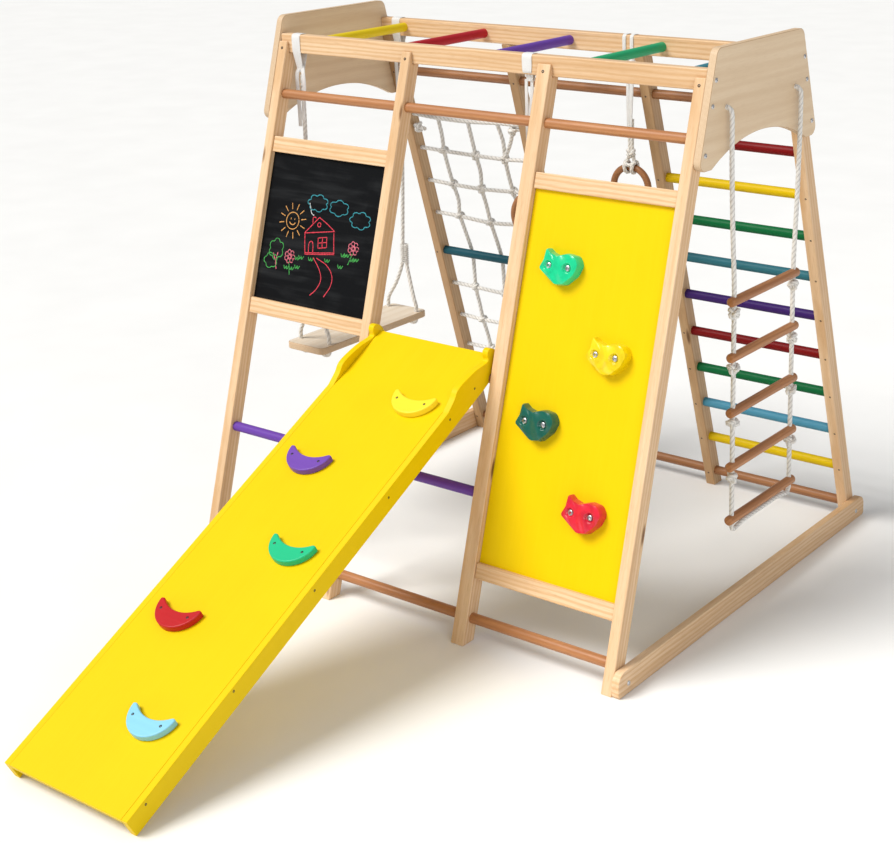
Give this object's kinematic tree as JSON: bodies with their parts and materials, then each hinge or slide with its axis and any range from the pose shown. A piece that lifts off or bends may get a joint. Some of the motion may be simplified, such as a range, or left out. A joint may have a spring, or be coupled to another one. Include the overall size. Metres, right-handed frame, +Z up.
{
  "type": "climbing frame with climbing wall",
  "caption": "Wooden indoor climbing frame: leaning A-frame with a climbing wall, slide, chalkboard, rung ladder, rope net, swing, rings and a side rope ladder.",
  "frame": {"origin": "centre of the footprint's bounding box, on the floor", "axes": "+X along the front from the chalkboard to the climbing wall, +Y from the slide's foot to the back ladder, +Z up"},
  "size_m": [1.4516, 2.349, 1.481],
  "materials": {
    "pine": "clear satin varnish",
    "beech": "red-brown stain under satin varnish",
    "plywood": "clear satin varnish, laminated edge",
    "rope": "laid fibre rope",
    "yellow_paint": "satin paint",
    "red_paint": "satin paint",
    "green_paint": "satin paint",
    "teal_paint": "satin paint",
    "purple_paint": "satin paint",
    "light_blue_paint": "satin paint",
    "chalkboard_black": "matt chalkboard paint",
    "bright_green_plastic": "gloss",
    "yellow_plastic": "gloss",
    "dark_green_plastic": "gloss",
    "red_plastic": "gloss"
  },
  "bodies": {
    "frame": {"front_post_1": "pine", "front_post_2": "pine", "front_post_3": "pine", "front_post_4": "pine", "back_post_1": "pine", "back_post_2": "pine", "back_post_3": "pine", "back_post_4": "pine", "front_top_rail": "pine", "back_top_rail": "pine", "end_board_left": "plywood", "end_board_right": "plywood", "base_rail_left": "pine", "base_rail_right": "pine", "monkey_bar_1": "yellow_paint", "monkey_bar_2": "red_paint", "monkey_bar_3": "purple_paint", "monkey_bar_4": "green_paint", "monkey_bar_5": "teal_paint", "ladder_rung_1": "red_paint", "ladder_rung_2": "yellow_paint", "ladder_rung_3": "green_paint", "ladder_rung_4": "teal_paint", "ladder_rung_5": "purple_paint", "ladder_rung_6": "red_paint", "ladder_rung_7": "green_paint", "ladder_rung_8": "light_blue_paint", "ladder_rung_9": "yellow_paint", "front_upper_dowel": "beech", "front_middle_dowel": "purple_paint", "front_bottom_dowel": "beech", "slide_hook_dowel": "beech", "back_upper_dowel": "beech", "net_dowel": "teal_paint", "back_bottom_dowel": "beech", "chalkboard": "chalkboard_black", "chalkboard_top_rail": "pine", "chalkboard_bottom_rail": "pine", "climbing_panel": "yellow_paint", "climbing_panel_top_rail": "pine", "climbing_panel_bottom_rail": "pine", "hold_bright_green": "bright_green_plastic", "hold_yellow": "yellow_plastic", "hold_dark_green": "dark_green_plastic", "hold_red": "red_plastic", "climbing_net": "rope"},
    "slide": {"slide_deck": "yellow_paint", "slide_side_left": "yellow_paint", "slide_side_right": "yellow_paint"},
    "swing": {"swing_seat": "plywood", "swing_rope_front": "rope", "swing_rope_back": "rope"},
    "ring_front": {"gym_ring_front": "beech"},
    "ring_back": {"gym_ring_back": "beech"},
    "rope_ladder": {"rope_ladder_rope": "rope", "rope_ladder_rung_1": "beech", "rope_ladder_rung_2": "beech", "rope_ladder_rung_3": "beech", "rope_ladder_rung_4": "beech", "rope_ladder_rung_5": "beech"}
  },
  "joints": [
    {"name": "slide_tilt", "type": "hinge", "parent": "frame", "child": "slide", "pos_m": [-0.01585, 0.07507, 0.64], "axis": [-1, 0, 0], "range_deg": [0, 25]},
    {"name": "swing_sway", "type": "hinge", "parent": "frame", "child": "swing", "pos_m": [-0.64135, 0.5145, 1.318], "axis": [0, 1, 0], "range_deg": [-35, 20]},
    {"name": "ring_front_sway", "type": "hinge", "parent": "frame", "child": "ring_front", "pos_m": [0.14965, 0.3015, 1.366], "axis": [0, 1, 0], "range_deg": [-12, 35]},
    {"name": "ring_back_sway", "type": "hinge", "parent": "frame", "child": "ring_back", "pos_m": [0.17765, 0.7275, 1.366], "axis": [0, 1, 0], "range_deg": [-10, 35]},
    {"name": "rope_ladder_sway", "type": "hinge", "parent": "frame", "child": "rope_ladder", "pos_m": [0.70155, 0.5145, 1.337], "axis": [0, -1, 0], "range_deg": [0, 35]}
  ]
}
